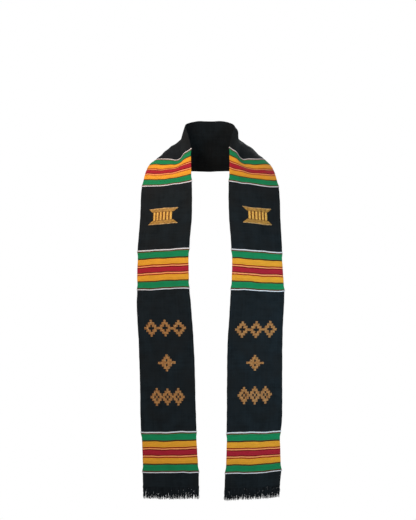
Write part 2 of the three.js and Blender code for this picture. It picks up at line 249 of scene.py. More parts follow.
def wornLift(distance, share):
    lift = np.zeros_like(distance)
    for height, across, along, phase in worn["waves"]:
        lift = lift + height * np.sin(2 * np.pi * (across * share + along * distance) + phase)
    edge = np.abs(2 * share - 1) ** worn["curlPower"]
    curl = np.sin(2 * np.pi * worn["curlPerMetre"] * distance + worn["curlSkew"] * share)
    lift = lift + worn["edgeCurl"] * edge * (worn["curlBase"] + worn["curlSwing"] * curl)
    for side, height, along, alongSpan, across, acrossSpan in worn["folds"]:
        away = side * distance if side else np.abs(distance)
        offset = ((away - along) / alongSpan) ** 2 + ((share - across) / acrossSpan) ** 2
        lift = lift + height * np.exp(-offset)
    return lift


def placed(distance, share, lift):  # points of the worn cloth, lifted off the side that lies on the body
    spots = np.broadcast_arrays(distance, share, lift)
    distance, share, lift = (np.asarray(values, float).ravel() for values in spots)
    for height, across, along, phase in worn["weftBow"]:
        bow = height * np.sin(2 * np.pi * (across * share + along * distance) + phase)
        distance = distance + bow * smoothStep(np.abs(distance), worn["bowStart"], worn["bowFull"])
    for side, drop, place, span, middle, reach in worn["sags"]:
        offset = ((side * distance - place) / span) ** 2 + ((share - middle) / reach) ** 2
        distance = distance + side * drop * np.exp(-offset)
    for side, swing, start, end in worn["swings"]:
        share = share - swing / strip["width"] * smoothStep(side * distance, start, end)
    for side, pull, place, span, edge in worn["pulls"]:
        reach = pull / strip["width"] * np.exp(-((side * distance - place) / span) ** 2)
        share = share + (reach * share ** 2 if edge else -reach * (1 - share) ** 2)
    probe = drape["probe"]
    across = (clothPoint(distance, share + probe / strip["width"])
              - clothPoint(distance, share - probe / strip["width"]))
    along = clothPoint(distance + probe, share) - clothPoint(distance - probe, share)
    outward = np.cross(across, along)
    outward /= np.linalg.norm(outward, axis=1)[:, None]
    counts = worn["edgeWanderPerMetre"]
    wander = sum(np.sin(2 * np.pi * count * distance + worn["wanderPhase"] * i + worn["wanderSkew"] * share)
                 for i, count in enumerate(counts))
    wander = wander * worn["edgeWander"] / len(counts) * np.abs(2 * share - 1) ** worn["wanderPower"]
    sideways = across / np.linalg.norm(across, axis=1)[:, None]
    return (clothPoint(distance, share) + sideways * wander[:, None]
            + outward * (lift + wornLift(distance, share))[:, None])


# Materials

def fromHex(text):  # sRGB hex to linear
    parts = [int(text[i:i + 2], 16) / 255 for i in (1, 3, 5)]
    return tuple(c / 12.92 if c <= 0.04045 else ((c + 0.055) / 1.055) ** 2.4 for c in parts) + (1.0,)


def addNode(tree, kind, inputs=None, **settings):
    made = tree.nodes.new(kind)
    for key, value in settings.items():
        setattr(made, key, value)
    for key, value in (inputs or {}).items():
        if isinstance(value, bpy.types.NodeSocket):
            tree.links.new(value, made.inputs[key])
        else:
            made.inputs[key].default_value = value
    return made.outputs[0] if made.outputs else made


def newMaterial(name):
    material = bpy.data.materials.new(name)
    material.use_nodes = True
    material.node_tree.nodes.clear()
    return material, material.node_tree


def finishMaterial(tree, color, height, surface):  # a yarn surface with its bump
    bump = addNode(tree, "ShaderNodeBump", {"Height": height, "Strength": surface["bumpStrength"],
                                            "Distance": surface["bumpDepth"]})
    shader = addNode(tree, "ShaderNodeBsdfPrincipled", {
        "Base Color": color,
        "Roughness": surface["roughness"],
        "IOR": surface["ior"],
        "Specular IOR Level": surface["gloss"],
        "Sheen Weight": surface["sheen"],
        "Sheen Roughness": surface["sheenRoughness"],
        "Sheen Tint": fromHex(surface["sheenTint"]),
        "Normal": bump,
    })
    addNode(tree, "ShaderNodeOutputMaterial", {"Surface": shader})


weave = {
    "stagger": 0.5,     # how far each row is out of step with the last
    "beadBase": 0.45,   # height of a row where it dips, as a share
    "beadRise": 0.55,   # and what its beads add
}


def drawnOut(tree, place, width, length, detail, roughness=0.5):  # noise in spots of a real width and length
    scaled = addNode(tree, "ShaderNodeMapping", {"Vector": place, "Scale": (1 / width, 1 / length, 1)})
    return addNode(tree, "ShaderNodeTexNoise", {"Vector": scaled, "Scale": 1.0, "Detail": detail,
                                                "Roughness": roughness})


def shadeRamp(tree, shade, spec):  # from a yarn's dark to its light
    color = addNode(tree, "ShaderNodeValToRGB", {"Fac": shade})
    low, high = color.node.color_ramp.elements
    low.position, low.color = spec["darkUpTo"], fromHex(spec["dark"])
    high.position, high.color = spec["lightFrom"], fromHex(spec["light"])
    return color


def threadPattern(tree, warpPitch, weftPitch):  # weft rows that dip under each second warp, row by row
    place = addNode(tree, "ShaderNodeUVMap", uv_map="weave")
    split = tree.nodes.new("ShaderNodeSeparateXYZ")
    tree.links.new(place, split.inputs[0])
    across, along = split.outputs[0], split.outputs[1]
    row = addNode(tree, "ShaderNodeMath", {0: along, 1: weftPitch}, operation="DIVIDE")
    rowNumber = addNode(tree, "ShaderNodeMath", {0: row}, operation="FLOOR")
    rowAngle = addNode(tree, "ShaderNodeMath", {0: row, 1: math.pi}, operation="MULTIPLY")
    rowWave = addNode(tree, "ShaderNodeMath", {0: rowAngle}, operation="SINE")
    rowCrown = addNode(tree, "ShaderNodeMath", {0: rowWave}, operation="ABSOLUTE")
    column = addNode(tree, "ShaderNodeMath", {0: across, 1: warpPitch}, operation="DIVIDE")
    shifted = addNode(tree, "ShaderNodeMath", {0: rowNumber, 1: weave["stagger"], 2: column},
                      operation="MULTIPLY_ADD")
    beadAngle = addNode(tree, "ShaderNodeMath", {0: shifted, 1: math.pi}, operation="MULTIPLY")
    beadWave = addNode(tree, "ShaderNodeMath", {0: beadAngle}, operation="SINE")
    bead = addNode(tree, "ShaderNodeMath", {0: beadWave}, operation="ABSOLUTE")
    beadSoft = addNode(tree, "ShaderNodeMath", {0: bead, 1: weave["beadRise"], 2: weave["beadBase"]},
                       operation="MULTIPLY_ADD")
    height = addNode(tree, "ShaderNodeMath", {0: rowCrown, 1: beadSoft}, operation="MULTIPLY")
    return place, height, along, rowNumber


def addShades(tree, start, layers):  # each layer's value times its weight, one after another
    shade = start
    for value, weight in layers:
        shade = addNode(tree, "ShaderNodeMath", {0: value, 1: weight, 2: shade}, operation="MULTIPLY_ADD")
    return shade


groundSpec = {
    "dark": "#050708",
    "light": "#161a1c",
    "warm": "#141312",          # faded yarns
    "warpPitch": 0.0022,        # real yarns lie about 1 mm apart, drawn twice as coarse to show
    "weftPitch": 0.0018,
    "streakWidth": 0.0035,      # lengthwise lines from uneven warp
    "streakLength": 0.16,
    "slubLength": 0.06,         # thick places along one weft yarn
    "patchesPerMetre": 14,      # where the dye has faded
    "cloudsPerMetre": 45,
    "shadeStart": -0.32,        # what each layer adds to the shade, from dark to light
    "streakShade": 0.5,
    "slubShade": 0.55,
    "cloudShade": 0.7,
    # darker where the weave dips between yarn crowns: painted shade in the gaps
    "paintedGapShadeAndWarp": 0.3,
    "darkUpTo": 0.37,
    "lightFrom": 0.83,
    "warmFrom": 0.42,
    "warmTo": 0.75,
    "roughness": 0.92,
    "ior": 1.5,
    "gloss": 0.08,              # fibres trap most of it
    "sheen": 0.06,
    "sheenRoughness": 0.5,
    "sheenTint": "#8a8f96",
    "bumpStrength": 0.8,
    "bumpDepth": 0.0003,
}


def cottonGround():  # matte black cotton and acrylic, plain woven: uneven dark yarns, painted shade in the gaps of the weave, and a dry, dusty sheen
    material, tree = newMaterial("blackWovenCotton")
    spec = groundSpec
    place, height = threadPattern(tree, spec["warpPitch"], spec["weftPitch"])[:2]
    streaks = drawnOut(tree, place, spec["streakWidth"], spec["streakLength"], 4, 0.6)
    slubs = drawnOut(tree, place, spec["slubLength"], spec["weftPitch"], 2)
    patches = addNode(tree, "ShaderNodeTexNoise", {"Vector": place, "Scale": spec["patchesPerMetre"],
                                                   "Detail": 3.0})
    clouds = addNode(tree, "ShaderNodeTexNoise", {"Vector": place, "Scale": spec["cloudsPerMetre"],
                                                  "Detail": 4.0})
    shade = addShades(tree, spec["shadeStart"], [
        (streaks, spec["streakShade"]),
        (slubs, spec["slubShade"]),
        (clouds, spec["cloudShade"]),
        (height, spec["paintedGapShadeAndWarp"]),
    ])
    color = shadeRamp(tree, shade, spec)
    warmth = addNode(tree, "ShaderNodeMapRange", {
        "Value": patches, "From Min": spec["warmFrom"], "From Max": spec["warmTo"]})
    faded = addNode(tree, "ShaderNodeMix", {"Factor": warmth, 6: color, 7: fromHex(spec["warm"])},
                    data_type="RGBA")
    finishMaterial(tree, faded.node.outputs[2], height, spec)
    return material


stripeSpec = {
    # colour and end of each stripe, as a share of the band from its edge to its middle
    "half": [
        ("#c6bcb9", 0.027),     # white
        ("#4a2a12", 0.058),     # thin brown line
        ("#106d40", 0.203),     # green
        ("#402712", 0.231),     # thin dark brown line
        ("#cb8522", 0.368),     # yellow
        ("#821c00", 0.397),     # thin red-brown line
        ("#dd8650", 0.425),     # pale orange
        ("#620a02", 0.449),     # thin dark red line
        ("#971825", 0.5),       # crimson
    ],
    "warpPitch": 0.0026,        # real yarns lie about 1 mm apart, drawn coarser to show
    "slubLength": 0.03,
    "dyeWidth": 0.018,          # uneven dye, in spots longer across than along
    "dyeLength": 0.005,
    "shadeStart": 0.29,         # what each layer adds to the brightness
    "yarnShade": 0.16,
    "dyeShade": 0.3,
    "slubShade": 0.4,
    # darker between the beads: the black warp showing there, and painted shade in the grooves between rows
    "paintedGapShadeAndWarp": 0.5,
    "roughness": 0.85,
    "ior": 1.5,
    "gloss": 0.12,
    "sheen": 0.05,
    "sheenRoughness": 0.4,
    "sheenTint": "#f4f0ea",
    "bumpStrength": 0.7,
    "bumpDepth": 0.00035,
}


def stripedWeave():  # dyed cotton weft packed over the warp: bright matte stripes made of small beads, darker between them where the black warp shows and with painted shade in the grooves between rows
    material, tree = newMaterial("stripedWeftCotton")
    spec = stripeSpec
    place, height, along, rowNumber = threadPattern(tree, spec["warpPitch"], weftRow)
    share = addNode(tree, "ShaderNodeMath", {0: along, 1: strip["band"]}, operation="DIVIDE")
    color = addNode(tree, "ShaderNodeValToRGB", {"Fac": share})
    ramp = color.node.color_ramp
    ramp.interpolation = "CONSTANT"
    half = spec["half"]
    starts = [0.0] + [end for _, end in half[:-1]]
    stops = [(start, hexText) for start, (hexText, _) in zip(starts, half)]
    stops += [(1 - end, hexText) for hexText, end in reversed(half[:-1])]
    for i, (start, hexText) in enumerate(stops):
        element = ramp.elements[i] if i < 2 else ramp.elements.new(start)
        element.position, element.color = start, fromHex(hexText)
    yarn = addNode(tree, "ShaderNodeTexWhiteNoise", {"W": rowNumber}, noise_dimensions="1D")
    slubs = drawnOut(tree, place, spec["slubLength"], weftRow, 3)
    dye = drawnOut(tree, place, spec["dyeWidth"], spec["dyeLength"], 2)
    shade = addShades(tree, spec["shadeStart"], [
        (yarn, spec["yarnShade"]),
        (dye, spec["dyeShade"]),
        (slubs, spec["slubShade"]),
        (height, spec["paintedGapShadeAndWarp"]),
    ])
    toned = addNode(tree, "ShaderNodeVectorMath", {0: color, "Scale": shade}, operation="SCALE")
    finishMaterial(tree, toned, height, spec)
    return material


def yarnMaterial(name, spec):  # plied yarn: slanting plies along each thread with painted shade in the grooves between them, and threads of uneven shade
    material, tree = newMaterial(name)
    place = addNode(tree, "ShaderNodeUVMap", uv_map="weave")
    turned = addNode(tree, "ShaderNodeMapping", {
        "Vector": place, "Rotation": (0, 0, math.radians(spec["plySlant"])),
        "Scale": (1 / spec["plyPitch"], 1 / spec["plyPitch"], 1)})
    split = tree.nodes.new("ShaderNodeSeparateXYZ")
    tree.links.new(turned, split.inputs[0])
    angle = addNode(tree, "ShaderNodeMath", {0: split.outputs[0], 1: 2 * math.pi}, operation="MULTIPLY")
    wave = addNode(tree, "ShaderNodeMath", {0: angle}, operation="SINE")
    ply = addNode(tree, "ShaderNodeMath", {0: wave, 1: 0.5, 2: 0.5}, operation="MULTIPLY_ADD")
    uneven = drawnOut(tree, place, spec["shadeAcross"], spec["shadeAlong"], 3, 0.65)
    shade = addShades(tree, spec["shadeStart"], [(ply, spec["paintedPlyGrooveShade"]), (uneven, spec["unevenShade"])])
    finishMaterial(tree, shadeRamp(tree, shade, spec), ply, spec)
    return material


stoolSpec = {
    "dark": "#65400f",
    "light": "#b27e2b",
    "plyPitch": 0.0016,     # real plies turn in about 1 mm, drawn coarser to show
    "plySlant": 35,
    "shadeAcross": 0.005,
    "shadeAlong": 0.0026,
    "shadeStart": -0.86,    # what each layer adds to the shade, from dark to light
    # darker in the grooves between the plies: painted shade
    "paintedPlyGrooveShade": 0.22,
    "unevenShade": 2.5,
    "darkUpTo": 0.1,
    "lightFrom": 0.9,
    "roughness": 0.6,
    "ior": 1.5,
    "gloss": 0.3,
    "sheen": 0.1,
    "sheenRoughness": 0.35,
    "sheenTint": "#ffe2b0",
    "bumpStrength": 0.5,
    "bumpDepth": 0.00015,
}
columnSpec = dict(stoolSpec, dark="#b0772c", light="#dba84e", gloss=0.2)
# dark brown yarn of the runs between the columns: its darkness is painted shade of the recesses
shadedSeparatorSpec = dict(stoolSpec, dark="#3a1802", light="#663406", gloss=0.1, sheen=0.04)
# pale yarn of the bars' outermost rows: a painted highlight along their rims
paintedHighlightRimSpec = dict(stoolSpec, dark="#8c6638", light="#c39962")
ornamentSpec = dict(stoolSpec, dark="#73411b", light="#b47941", gloss=0.2)
fringeSpec = dict(stoolSpec, dark="#0c0e0f", light="#1e2022", roughness=0.9, gloss=0.08, sheen=0.06,
                  sheenTint="#83888f", plyPitch=0.0022, shadeAcross=0.002, shadeAlong=0.02)
materials = {
    "ground": cottonGround(),
    "stripes": stripedWeave(),
    "stool": yarnMaterial("goldRayonYarn", stoolSpec),          # silky weft with a soft gloss
    "columns": yarnMaterial("paleGoldRayonYarn", columnSpec),
    "shadedSeparators": yarnMaterial("brownYarnPaintedShade", shadedSeparatorSpec),
    "paintedHighlightRim": yarnMaterial("beigeYarnPaintedHighlight", paintedHighlightRimSpec),     # paler than the gold it edges: a painted highlight along the bars' outer rows
    "ornament": yarnMaterial("ochreCottonYarn", ornamentSpec),  # duller, with the black warp between
    "fringe": yarnMaterial("blackCottonYarn", fringeSpec),      # dry and matte
}
print("materials made:", len(materials))


# Pieces

sharpAngle = 50     # degrees: rims and thread ends stay crisp


def newPiece(name, points, faces, uvs, pieceMaterials, materialOf=None):
    mesh = bpy.data.meshes.new(name)
    mesh.from_pydata(points.tolist(), [], faces)
    layer = mesh.uv_layers.new(name="weave")
    corner = np.zeros(len(mesh.loops), dtype=np.int32)
    mesh.loops.foreach_get("vertex_index", corner)
    layer.data.foreach_set("uv", np.asarray(uvs, np.float32)[corner].ravel())
    mesh.polygons.foreach_set("use_smooth", np.ones(len(faces), dtype=bool))
    for material in pieceMaterials:
        mesh.materials.append(material)
    if materialOf is not None:
        mesh.polygons.foreach_set("material_index", np.asarray(materialOf, np.int32))
    mesh.set_sharp_from_angle(angle=math.radians(sharpAngle))
    mesh.validate()
    piece = bpy.data.objects.new(name, mesh)
    bpy.context.scene.collection.objects.link(piece)
    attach(piece, "root")
    return piece


cloth = {
    "columns": 40,
    "groundStep": 0.002,
    "bandStep": 0.0004,
    "whiteRows": 0.027,             # share of the band taken by its white rows, of thicker yarn
    "whiteReach": 0.0009,           # they stand out past the selvedge
    "whiteFade": [0.6, 1.2],        # from where to where that ends, as shares of the white rows
    "whitePower": 12,               # how close to the selvedge it stays
    "drawIn": 0.031,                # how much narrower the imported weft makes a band, as a share
    "drawStart": 0.02,              # over which shares of the band it draws in
    "drawEnd": 0.16,
    "ribHeight": 0.00022,
    "ribMean": 0.6,                 # of a rib's rise, so that the band keeps its thickness
    "edgeTurn": [0.25, 0.5, 0.75],  # where the rounded selvedge has points, as shares of a half turn
    # shallow grooves of the thin lines between the broad stripes, as shares of the band
    "grooves": [(0.212, 0.234), (0.372, 0.427), (0.573, 0.628), (0.766, 0.788)],
}


def stripeLift(share):
    lift = np.full_like(share, strip["bandCloth"])
    for start, end in cloth["grooves"]:
        middle = (start + end) / 2
        depth = 1 - np.clip(np.abs(share - middle) / ((end - start) / 2), 0, 1)
        lift = lift - strip["stripeGroove"] * depth
    return lift


def weaveCloth(name, start, end, banded):
    low, high = min(start, end), max(start, end)
    step = cloth["bandStep"] if banded else cloth["groundStep"]
    rows = max(3, int(round((high - low) / step)) + 1)
    distances = np.linspace(low, high, rows)
    fromTop = np.abs(distances) - min(abs(start), abs(end)) if banded else np.abs(distances)
    if banded:
        top = stripeLift(fromTop / strip["band"])
        top = top + cloth["ribHeight"] * (np.abs(np.sin(np.pi * fromTop / weftRow)) - cloth["ribMean"])
    else:
        top = np.full(rows, strip["cloth"])
    columns = cloth["columns"]
    margin = strip["cloth"] / 2 / strip["width"]
    across = np.linspace(margin, 1 - margin, columns + 1)
    # round a section: half thicknesses out past the margin, share of the width, and height, 0 to 1
    ring = [(0, s, 1.0) for s in across]
    for turn in cloth["edgeTurn"]:
        ring.append((math.sin(math.pi * turn), across[-1], 0.5 + 0.5 * math.cos(math.pi * turn)))
    ring += [(0, s, 0.0) for s in across[::-1]]
    for turn in cloth["edgeTurn"][::-1]:
        ring.append((-math.sin(math.pi * turn), across[0], 0.5 + 0.5 * math.cos(math.pi * turn)))
    ring = np.array(ring)
    count = len(ring)
    d = np.repeat(distances, count)
    thickness = np.repeat(top, count)
    out, share, up = (np.tile(ring[:, k], rows) for k in range(3))
    share = share + out * thickness / 2 / strip["width"]
    if banded:
        fromEdge = np.minimum(fromTop, strip["band"] - fromTop) / strip["band"]
        fromEdge = np.repeat(fromEdge, count)
        fadeStart, fadeEnd = (part * cloth["whiteRows"] for part in cloth["whiteFade"])
        reach = cloth["whiteReach"] * (1 - smoothStep(fromEdge, fadeStart, fadeEnd))
        outer = np.sign(share - 0.5) * np.abs(2 * share - 1) ** cloth["whitePower"]
        share = share + reach / strip["width"] * outer
        drawn = cloth["drawIn"] * smoothStep(fromEdge, cloth["drawStart"], cloth["drawEnd"])
        share = 0.5 + (share - 0.5) * (1 - drawn)
    points = placed(d, share, up * thickness)
    uvs = np.stack([share * strip["width"], np.repeat(fromTop, count)], axis=1)
    faces = []
    for i in range(rows - 1):
        a, b = i * count, (i + 1) * count
        for j in range(count):
            k = (j + 1) % count
            faces.append((a + j, a + k, b + k, b + j))
    turned = len(cloth["edgeTurn"])
    for base, flip in ((0, True), ((rows - 1) * count, False)):     # the two cut ends
        for j in range(columns):
            back = 2 * columns + 1 + turned - j
            quad = [base + j, base + j + 1, base + back - 1, base + back]
            faces.append(tuple(quad[::-1] if flip else quad))
        outer = [base + columns + k for k in range(turned + 2)]
        inner = [base + 2 * columns + 1 + turned + k for k in range(turned + 1)] + [base]
        for fan in (outer, inner):
            faces.append(tuple(fan[::-1] if flip else fan))
    piece = newPiece(f"{name}_cloth", points, faces, uvs, [materials["stripes" if banded else "ground"]])
    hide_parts(name)
    return piece


weaveCloth("nape_strip", -firstBandTop, firstBandTop, False)
for sideName, side in (("left", 1), ("right", -1)):
    for part, top, bottom, banded in (
        ("neck_band", firstBandTop, chestStripTop, True),
        ("chest_strip", chestStripTop, secondBandTop, False),
        ("chest_band", secondBandTop, lowerStripTop, True),
        ("lower_strip", lowerStripTop, thirdBandTop, False),
        ("hem_band", thirdBandTop, hemStripTop, True),
        ("hem_strip", hemStripTop, hem, False),
    ):
        name = f"{sideName}_{part}"
        weaveCloth(name, side * top, side * bottom, banded)


figures = {
    "rowPitch": 0.0013,             # one weft row, drawn a little coarser than the real one
    "threadHalf": 0.00064,          # half of a thread's width, so that rows just touch
    "stoolThreadHalf": 0.00072,     # silkier and fuller in the stool
    "endReach": 0.0006,             # the rounded ends of a thread past its run
    "endTaper": 0.0007,             # length over which an end thins
    "thickness": 0.0011,
    "middleShares": [0.3, 0.2],     # height of a thread's middle at its very end, and what it gains
    "halfShares": [0.55, 0.45],     # its half width in the same way
    "riseShares": [0.12, 0.38],     # its half height
    "tieSpan": 0.0043,              # where the warp ties a long thread down
    "tieDip": 0.00028,
    "segment": 0.00145,             # one step along a thread
    "sides": 6,
    "stitchHeight": 0.0052,         # a charted stitch is four rows high
    "stoolPlace": 0.48,             # down the chest strip, as a share
    "stoolOffset": 0.004,           # towards the outer edge
    "stoolWidth": 0.066,
    "stoolHeight": 0.0362,
    "stoolWaist": 0.0454,
    "waistOffset": 0.0014,          # the columns stand a little outward
    "stoolUpperBar": 0.0090,
    "stoolLowerBar": 0.0103,
    "stoolLip": 0.10,               # share of a bar's height that keeps its full width
    "stoolColumns": 6,
    "columnShare": 0.56,            # of the pitch of the columns
    "columnRaise": 1.15,            # times the thickness
    "separatorRaise": 0.6,
    "separatorLap": 0.0003,         # under the columns on each side
    "rowPlaces": {"upper": 0.277, "middle": 0.523, "lower": 0.761},     # down the lower strip
}
stoolYarns = ["stool", "columns", "shadedSeparators", "paintedHighlightRim"]
charts = {      # a row's width and its stitches
    "upper": (0.090, [
        "...#......#......#...",
        "..###....###....###..",
        ".##.##..##.##..##.##.",
        "##...####...####...##",
        ".##.##..##.##..##.##.",
        "..###....###....###..",
        "...#......#......#...",
    ]),
    "middle": (0.037, [
        "....#....",
        "...###...",
        "..##.##..",
        "#########",
        "..##.##..",
        "...###...",
        "....#....",
    ]),
    "lower": (0.073, [
        "...#.....#.....#...",
        "..###...###...###..",
        ".##.##.##.##.##.##.",
        "##.#.###.#.###.#.##",
        ".##.##.##.##.##.##.",
        "..###...###...###..",
        "...#.....#.....#...",
    ]),
}


def layThreads(name, threads, threadMaterials, halfWidth):
    # each thread is (distance, share from, share to, row number, height share, material)
    spots, faces, uvs, materialOf = [], [], [], []
    sides = figures["sides"]
    base = 0
    for distance, start, end, row, raised, which in threads:
        start -= figures["endReach"] / strip["width"]
        end += figures["endReach"] / strip["width"]
        length = (end - start) * strip["width"]
        count = max(3, int(round(length / figures["segment"])) + 1)
        t = np.linspace(0, 1, count)
        x = t * length
        taper = np.sqrt(np.clip(np.minimum(x, length - x) / figures["endTaper"], 0, 1))
        tie = np.abs(np.sin(np.pi * (x / figures["tieSpan"] + 0.5 * (row % 2))))    # out of step row by row
        dip = figures["tieDip"] * (1 - tie) ** 2
        angles = 2 * np.pi * np.arange(sides) / sides
        crown = figures["thickness"] * raised
        atEnd, gain = figures["middleShares"]
        middle = strip["cloth"] + crown * (atEnd + gain * taper) - dip
        atEnd, gain = figures["halfShares"]
        half = halfWidth * (atEnd + gain * taper)
        atEnd, gain = figures["riseShares"]
        rise = crown * (atEnd + gain * taper)
        d = distance + half[:, None] * np.sin(angles)
        s = np.broadcast_to((start + t * (end - start))[:, None], d.shape)
        lift = middle[:, None] + rise[:, None] * np.cos(angles)
        spots.append(np.stack([d.ravel(), s.ravel(), lift.ravel()], axis=1))
        uvs.append(np.stack([s.ravel() * strip["width"], d.ravel()], axis=1))
        for i in range(count - 1):
            a, b = base + i * sides, base + (i + 1) * sides
            for j in range(sides):
                k = (j + 1) % sides
                faces.append((a + j, b + j, b + k, a + k))
        faces.append(tuple(base + j for j in range(sides)))
        faces.append(tuple(base + (count - 1) * sides + j for j in reversed(range(sides))))
        materialOf += [which] * (sides * (count - 1) + 2)
        base += count * sides
    spots = np.vstack(spots)
    points = placed(spots[:, 0], spots[:, 1], spots[:, 2])
    piece = newPiece(f"{name}_threads", points, faces, np.vstack(uvs), threadMaterials, materialOf)
    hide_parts(name)
    return piece


def runsOf(row):  # the filled stretches of a charted row
    runs, start = [], None
    for j, stitch in enumerate(row + "."):
        if stitch == "#" and start is None:
            start = j
        elif stitch != "#" and start is not None:
            runs.append((start, j))
            start = None
    return runs


def chartThreads(width, rows, centre, side):
    threads = []
    perStitch = int(round(figures["stitchHeight"] / figures["rowPitch"]))
    first = centre - side * len(rows) * figures["stitchHeight"] / 2
    stitchShare = width / strip["width"] / len(rows[0])
    left = 0.5 - width / 2 / strip["width"]
    number = 0
    for i, row in enumerate(rows):
        for k in range(perStitch):
            distance = first + side * (i * figures["stitchHeight"] + (k + 0.5) * figures["rowPitch"])
            for start, end in runsOf(row):
                run = left + start * stitchShare, left + end * stitchShare
                threads.append((distance, *run, number, 1.0, 0))
            number += 1
    return threads


def stoolThreads(centre, side):
    threads = []
    f = figures
    middle = 0.5 + f["stoolOffset"] / strip["width"]

    def addRun(distance, place, half, row, raised, yarn):
        start = middle + (place - half) / strip["width"]
        end = middle + (place + half) / strip["width"]
        threads.append((distance, start, end, row, raised, stoolYarns.index(yarn)))

    rows = int(round(f["stoolHeight"] / f["rowPitch"]))
    pitch = f["stoolWaist"] / f["stoolColumns"]
    for row in range(rows):
        along = (row + 0.5) * f["rowPitch"] - f["stoolHeight"] / 2
        distance = centre + side * along
        fromEdge = f["stoolHeight"] / 2 - abs(along)
        bar = f["stoolUpperBar"] if along < 0 else f["stoolLowerBar"]
        lip = f["stoolLip"] * bar
        if fromEdge < bar - f["rowPitch"]:
            inward = np.clip((fromEdge - lip) / (bar - lip), 0, 1)
            half = f["stoolWidth"] / 2 + (f["stoolWaist"] - f["stoolWidth"]) / 2 * inward
            # the outermost row of a bar takes the pale yarn, a painted highlight along the rim
            yarn = "paintedHighlightRim" if fromEdge < f["rowPitch"] else "stool"
            addRun(distance, f["waistOffset"] * inward, half, row, 1.0, yarn)
            continue
        yarn = "columns" if fromEdge > bar else "stool"     # the separators reach one row into the bars
        half = pitch * f["columnShare"] / 2
        halfGap = pitch * (1 - f["columnShare"]) / 2 + f["separatorLap"]
        for c in range(f["stoolColumns"]):
            place = f["waistOffset"] - f["stoolWaist"] / 2 + pitch * (c + 0.5)
            addRun(distance, place, half, row, f["columnRaise"], yarn)
            if c < f["stoolColumns"] - 1:
                # the lower runs between the columns take the dark yarn, painted shade of the recesses
                addRun(distance, place + pitch / 2, halfGap, row, f["separatorRaise"], "shadedSeparators")
    return threads


for sideName, side in (("left", 1), ("right", -1)):
    centre = side * (chestStripTop + figures["stoolPlace"] * strip["chestStrip"])
    name = f"{sideName}_stool_motif"
    layThreads(name, stoolThreads(centre, side), [materials[yarn] for yarn in stoolYarns],
                             figures["stoolThreadHalf"])
    for rowName, (width, rows) in charts.items():
        centre = side * (lowerStripTop + figures["rowPlaces"][rowName] * strip["lowerStrip"])
        name = f"{sideName}_{rowName}_row"
        layThreads(name, chartThreads(width, rows, centre, side), [materials["ornament"]],
                                 figures["threadHalf"])
print("gold figures laid")


fringe = {
    "plied": 80,            # twisted yarn ends across the strip
    "loose": 780,           # single warp ends between them, still crimped from the weave
    "length": 0.0265,
    "ragged": 0.012,        # longest less shortest
    "root": 0.003,          # hidden in the cloth
    "plyRadius": 0.00036,
    "plyTurn": 0.0046,      # length of one turn of the two plies
    "plyGap": 0.85,         # of the radius, so that the plies press together
    "openFrom": 0.8,        # shares of the length: near its end a yarn untwists
    "openOver": 0.2,
    "openRange": [0.2, 1.4],
    "looseRadius": 0.00036,
    "crimp": 0.00022,
    "crimpTurn": 0.0034,
    "crimpRatio": 1.4,      # it crimps faster up and down than sideways
    "thinFrom": 0.75,       # shares of the length: a cut end thins
    "thinOver": 0.25,
    "thinBy": 0.5,
    "jitter": 0.4,          # of the space between two strands
    "lean": 0.0024,
    "sway": 0.0007,
    "swayTurns": 1.3,
    "liftRange": [0.0003, 0.0013],  # where in the cloth's thickness a strand starts
    "rise": 0.0013,
    "raggedPower": 1.3,     # above 1 most strands are nearly full length
    "lockCount": 22,        # locks that the strands gather into
    "gather": 0.38,
    "gatherPower": 1.7,
    "points": 12,
    "looseSides": 4,
    "plySides": 5,
    "seeds": {"left": 11, "right": 23},
}


def addStrand(store, side, share, down, lift, radius, sides):  # one tube along points off the hem
    angles = 2 * np.pi * np.arange(sides) / sides
    s = share[:, None] + radius[:, None] * np.cos(angles) / strip["width"]
    up = lift[:, None] + radius[:, None] * np.sin(angles)
    d = np.broadcast_to(side * (hem + down)[:, None], s.shape)
    base = store["count"]
    store["spots"].append(np.stack([d.ravel(), s.ravel(), up.ravel()], axis=1))
    store["uvs"].append(np.stack([s.ravel() * strip["width"], d.ravel()], axis=1))
    count = len(share)
    made = [(base + i * sides + j, base + (i + 1) * sides + j,
             base + (i + 1) * sides + (j + 1) % sides, base + i * sides + (j + 1) % sides)
            for i in range(count - 1) for j in range(sides)]
    made.append(tuple(base + j for j in range(sides)))
    made.append(tuple(base + (count - 1) * sides + j for j in reversed(range(sides))))
    store["faces"] += made if side > 0 else [face[::-1] for face in made]
    store["count"] += count * sides


